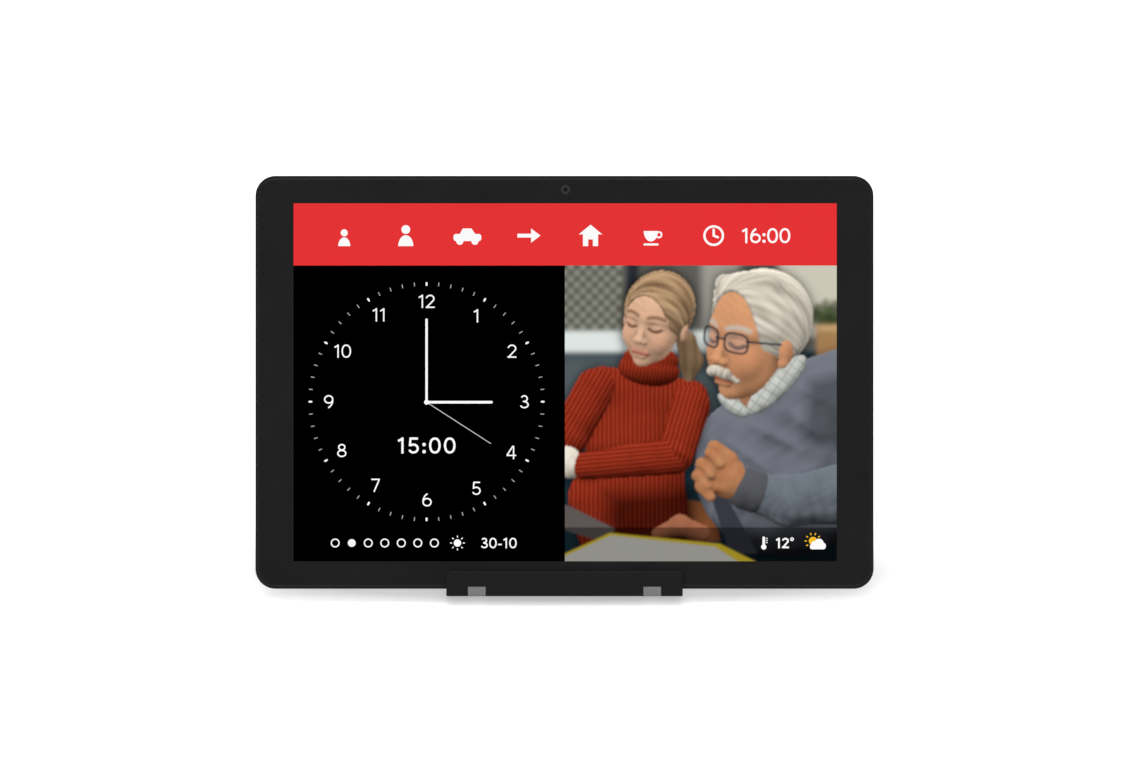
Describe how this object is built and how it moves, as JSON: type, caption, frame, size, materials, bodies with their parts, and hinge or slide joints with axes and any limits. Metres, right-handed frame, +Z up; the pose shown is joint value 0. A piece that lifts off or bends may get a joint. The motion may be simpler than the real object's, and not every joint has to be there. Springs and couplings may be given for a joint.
{
  "type": "dementia day clock",
  "caption": "Day clock for people with dementia: a lit screen in a slim black tablet housing, leaning in a small folding easel stand with grey grip pads and a hinged prop leg.",
  "frame": {"origin": "on the table, under the middle of the clock's outline", "axes": "+X along the screen to the viewer's right, +Y away from the viewer, +Z up; the viewer is on the -Y side"},
  "size_m": [0.247, 0.0788, 0.163],
  "materials": {
    "housing": "satin",
    "cover_glass": "gloss",
    "gasket": "matte",
    "lcd_cell": "gloss",
    "backlight": "satin",
    "ribbon": "satin",
    "frame_metal": "satin",
    "steel": "satin",
    "battery_foil": "satin",
    "circuit_board": "satin",
    "can_metal": "satin",
    "port_metal": "satin",
    "camera": "satin",
    "speaker": "satin",
    "button": "satin",
    "stand_plastic": "satin",
    "grip_silicone": "matte",
    "black_rubber": "matte",
    "nylon": "satin"
  },
  "bodies": {
    "stand": {"cradle": "stand_plastic", "grip_pad_left": "grip_silicone", "grip_pad_right": "grip_silicone", "back_cushion_left": "black_rubber", "back_cushion_right": "black_rubber", "front_foot_left": "black_rubber", "front_foot_right": "black_rubber", "hinge_pin": "steel", "pin_clip": "steel", "hinge_washers": "nylon"},
    "leg": {"prop_leg": "stand_plastic", "leg_foot": "black_rubber"},
    "tablet": {"rear_cover": "housing", "cover_glass": "cover_glass", "glass_gasket": "gasket", "lcd_cell": "lcd_cell", "backlight_unit": "backlight", "display_flex": "ribbon", "mid_frame": "frame_metal", "frame_screws": "steel", "battery_left": "battery_foil", "battery_right": "battery_foil", "main_board": "circuit_board", "shield_cans": "can_metal", "board_screws": "steel", "sub_board": "circuit_board", "microphone": "can_metal", "link_flex": "ribbon", "usb_c_socket": "port_metal", "front_camera": "camera", "speaker_left": "speaker", "speaker_right": "speaker", "button_flex": "ribbon"},
    "power_button": {"power_button": "button"},
    "volume_rocker": {"volume_rocker": "button"}
  },
  "joints": [
    {"name": "tablet_lift", "type": "slide", "parent": "stand", "child": "tablet", "axis": [0, 0.309, 0.9511], "range_m": [0, 0.02]},
    {"name": "leg_hinge", "type": "hinge", "parent": "stand", "child": "leg", "pos_m": [0, 0.01046, 0.08792], "axis": [1, 0, 0], "range_deg": [-34, 0]},
    {"name": "power_press", "type": "slide", "parent": "tablet", "child": "power_button", "axis": [0, -0.309, -0.9511], "range_m": [0, 0.0003], "stiffness_N_per_m": 1000},
    {"name": "volume_tilt", "type": "hinge", "parent": "tablet", "child": "volume_rocker", "pos_m": [0.0685, 0.01952, 0.15947], "axis": [0, 0.9511, -0.309], "range_deg": [-1.2, 1.2], "stiffness_Nm_per_rad": 0.5}
  ]
}
